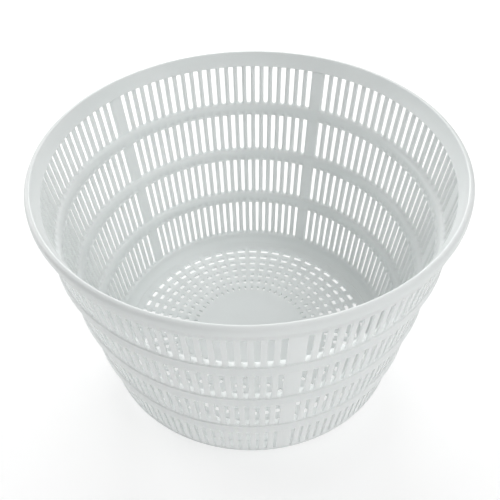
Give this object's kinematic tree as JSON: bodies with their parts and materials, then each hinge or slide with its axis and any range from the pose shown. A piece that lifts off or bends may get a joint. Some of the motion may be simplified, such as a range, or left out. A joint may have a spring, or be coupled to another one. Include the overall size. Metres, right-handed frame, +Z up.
{
  "type": "salad spinner basket",
  "caption": "Round slotted inner basket of a manual salad spinner, with a pierced floor, a foot ring and a small bush in a hub underneath.",
  "frame": {"origin": "on the table, under the middle of the basket", "axes": "+Z up along the spin axis, +Y towards the first solid rib of the wall"},
  "size_m": [0.3, 0.3, 0.195],
  "materials": {
    "basket_plastic": "satin, slightly translucent",
    "insert_plastic": "smooth natural acetal"
  },
  "bodies": {
    "basket": {"rim": "basket_plastic", "wall_tier_1": "basket_plastic", "wall_tier_2": "basket_plastic", "wall_tier_3": "basket_plastic", "wall_tier_4": "basket_plastic", "base_corner": "basket_plastic", "base_floor": "basket_plastic", "foot_ring": "basket_plastic", "hub": "basket_plastic", "retaining_ring": "insert_plastic"},
    "bush": {"pivot_bush": "insert_plastic"}
  },
  "joints": [
    {"name": "bush_spin", "type": "hinge", "parent": "basket", "child": "bush", "pos_m": [0, 0, 0.006], "axis": [0, 0, 1], "continuous": true}
  ]
}
